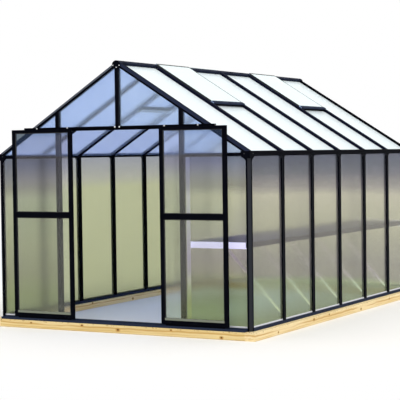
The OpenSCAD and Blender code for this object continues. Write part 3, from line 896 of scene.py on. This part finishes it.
def addVentEdges():
    # each bay is the slope's side and the middle of the bay along the ridge
    bm = bmesh.new()
    half = ventEdge["half"]
    for side, middle in ventEdge["bays"]:
        down = Vector((side * math.cos(roofAngle), 0.0, -math.sin(roofAngle)))
        out = Vector((side * math.sin(roofAngle), 0.0, math.cos(roofAngle)))
        run = down * (ventEdge["to"] - ventEdge["from"])
        corners = []
        for edge in (-1.0, 1.0):
            corner = Vector((0.0, middle + edge * half, roofLine["apex"])) + down * ventEdge["from"]
            corners.append(corner + out * ventEdge["lift"])
            addRun(bm, ventEdge["side"], corners[-1], (0, edge, 0), out, run)
        addRun(bm, ventEdge["top"], corners[0], -down, out, (0, 2.0 * half, 0))
    makePiece("vent_edges", bm, plain["grey_edging"], "greenhouse")


addVentEdges()


# ribs along the eave rails

eaveRibs = {
    "profile": [(0.0, 0.0), (0.0025, 0.0008), (0.0025, 0.0032), (0.0, 0.0040)],
    "levels": (1.4580, 1.4830),
    "half": 1.735,
}


def addEaveRibs():
    bm = bmesh.new()
    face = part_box("right_eave_rail")[1].x
    half = eaveRibs["half"]
    for side in (-1.0, 1.0):
        for level in eaveRibs["levels"]:
            start = (side * face, -half, level)
            addRun(bm, eaveRibs["profile"], start, (side, 0, 0), (0, 0, 1), (0, 2.0 * half, 0))
    makePiece("eave_ribs", bm, black, "greenhouse")


addEaveRibs()


# caps on the ends of the door track

trackCap = {
    "thick": 0.003,
    "corner": 0.004,
}


def addTrackCaps():
    bm = bmesh.new()
    low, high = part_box("door_track")
    deep = high.y - low.y
    tall = high.z - low.z
    cut = trackCap["corner"]
    profile = [(0.0, cut), (cut, 0.0), (deep, 0.0), (deep, tall), (cut, tall), (0.0, tall - cut)]
    for x, way in ((high.x, 1.0), (low.x, -1.0)):
        addRun(bm, profile, (x, low.y, low.z), (0, 1, 0), (0, 0, 1), (way * trackCap["thick"], 0, 0))
    makePiece("track_caps", bm, plain["dark_fittings"], "greenhouse")


addTrackCaps()


# rubber beads round the door panes, a guide plate on each bottom rail and a seal above it

doorTrim = {
    "grip": 0.007,
    "levels": ((0.143, 0.949), (0.994, 1.669)),
    "bead": [(0.0, 0.0), (0.0060, 0.0), (0.0045, 0.0025), (0.0, 0.0040)],
    "plate": [(0.0, 0.003), (0.003, 0.0), (0.019, 0.0), (0.022, 0.003), (0.022, 0.023), (0.019, 0.026),
              (0.003, 0.026), (0.0, 0.023)],
    "plateHalf": 0.011,
    "plateIn": 0.088,
    "plateLevel": 0.100,
    "plateThick": 0.0025,
    "screwRise": 0.013,
    "seal": [(0.0, 0.0), (0.019, 0.0), (0.019, 0.0010), (0.0015, 0.0010)],
    "sealRise": 0.007,
}


def addDoorTrim(side):
    # side is "left" or "right"
    low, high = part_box(side + "_door_panels")
    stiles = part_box(side + "_door_stiles")
    left = low.x + doorTrim["grip"]
    right = high.x - doorTrim["grip"]
    wide = (right - left, 0, 0)
    bm = bmesh.new()
    bead = doorTrim["bead"]
    for face, out in ((low.y, -1.0), (high.y, 1.0)):
        for foot, head in doorTrim["levels"]:
            for x, way in ((left, 1.0), (right, -1.0)):
                addRun(bm, bead, (x, face, foot), (way, 0, 0), (0, out, 0), (0, 0, head - foot))
            for z, way in ((foot, 1.0), (head, -1.0)):
                addRun(bm, bead, (left, face, z), (0, 0, way), (0, out, 0), wide)
    makePiece(side + "_door_beads", bm, plain["black_rubber"], side + "_door")
    plate = bmesh.new()
    thick = doorTrim["plateThick"]
    level = doorTrim["plateLevel"]
    front = stiles[0].y
    middle = stiles[1].x - doorTrim["plateIn"]
    if side == "right":
        middle = stiles[0].x + doorTrim["plateIn"]
    corner = (middle - doorTrim["plateHalf"], front, level)
    addRun(plate, doorTrim["plate"], corner, (1, 0, 0), (0, 0, 1), (0, -thick, 0))
    addTurned(plate, bolts["small"], (middle, front - thick, level + doorTrim["screwRise"]), (0, -1, 0))
    makePiece(side + "_door_guide_plate", plate, black, side + "_door")
    strip = bmesh.new()
    sealTop = doorTrim["levels"][0][0] + doorTrim["sealRise"]
    for face, out in ((front, -1.0), (stiles[1].y, 1.0)):
        addRun(strip, doorTrim["seal"], (left, face, sealTop), (0, 0, -1), (0, out, 0), wide)
    makePiece(side + "_door_foot_seal", strip, plain["pale_seal"], side + "_door")


addDoorTrim("left")
addDoorTrim("right")
print("small pieces added")


# camera

shot = {
    "place": (5.98493, -11.37128, 1.48056),
    "yaw": -0.499713,
    "pitch": -0.0345505,
    "roll": -0.0134365,
    "lens": 122.5,
    "sensor": 36.0,
    "reach": 200.0,
}


def addCamera():
    data = bpy.data.cameras.new("camera")
    data.lens = shot["lens"]
    data.sensor_width = shot["sensor"]
    data.clip_end = shot["reach"]
    camera = bpy.data.objects.new("camera", data)
    scene.collection.objects.link(camera)
    yaw, pitch, roll = shot["yaw"], shot["pitch"], shot["roll"]
    level = math.cos(pitch)
    ahead = Vector((math.sin(yaw) * level, math.cos(yaw) * level, math.sin(pitch)))
    side = Vector((math.cos(yaw), -math.sin(yaw), 0.0))
    up = side.cross(ahead)
    tiltedSide = side * math.cos(roll) + up * math.sin(roll)
    tiltedUp = up * math.cos(roll) - side * math.sin(roll)
    turn = Matrix((tiltedSide, tiltedUp, -ahead)).transposed()
    camera.matrix_world = Matrix.Translation(shot["place"]) @ turn.to_4x4()
    scene.camera = camera


addCamera()
print("camera placed")


# stage and light

studio = {
    "floorHalf": 60.0,
    "floorColour": (0.90, 0.885, 0.85),
    "white": (1.0, 1.0, 1.0),
    "whiteFrom": 2.2,
    "whiteTo": 4.5,
    "sky": 0.80,
    "sun": 1.5,
    "sunSpread": 50.0,
    "sunFrom": (0.45, -0.40, 1.0),
}


def addFloor():
    mesh = bpy.data.meshes.new("floor")
    half = studio["floorHalf"]
    corners = [(-half, -half, 0.0), (half, -half, 0.0), (half, half, 0.0), (-half, half, 0.0)]
    mesh.from_pydata(corners, [], [(0, 1, 2, 3)])
    floor = bpy.data.objects.new("floor", mesh)
    scene.collection.objects.link(floor)
    material, tap = newFinish("pale_floor")
    spot = axes(tap, places(tap))
    reach = tap.math("SQRT", spot[0] * spot[0] + spot[1] * spot[1])
    away = reach.between(studio["whiteFrom"], studio["whiteTo"])
    seen = tap.make("LightPath", {}, {}, "Is Camera Ray")
    pale = tap.make("BsdfDiffuse", {}, {"Color": opaque(studio["floorColour"])})
    white = tap.make("Emission", {}, {"Color": opaque(studio["white"]), "Strength": 1.0})
    mixed = tap.make("MixShader", {}, {0: away * seen, 1: pale, 2: white})
    tap.make("OutputMaterial", {}, {"Surface": mixed})
    mesh.materials.append(material)


def addSky():
    world = bpy.data.worlds.new("soft_sky")
    world.use_nodes = True
    world.node_tree.nodes.clear()
    tap = Tap(world.node_tree)
    camera, gloss, through = [tap.make("LightPath", {}, {}, "Is " + kind + " Ray")
                              for kind in ("Camera", "Glossy", "Transmission")]
    shown = tap.math("MINIMUM", camera + gloss + through, 1.0)
    strength = studio["sky"] + (1.0 - studio["sky"]) * shown
    light = tap.make("Background", {}, {"Color": opaque(studio["white"]), "Strength": strength})
    tap.make("OutputWorld", {}, {"Surface": light})
    scene.world = world


def addSun():
    data = bpy.data.lights.new("soft_sun", "SUN")
    data.energy = studio["sun"]
    data.angle = math.radians(studio["sunSpread"])
    sun = bpy.data.objects.new("soft_sun", data)
    scene.collection.objects.link(sun)
    sun.rotation_mode = "QUATERNION"
    sun.rotation_quaternion = Vector(studio["sunFrom"]).to_track_quat("Z", "Y")


addFloor()
addSky()
addSun()
scene.view_settings.view_transform = "Standard"
print("stage and light ready")
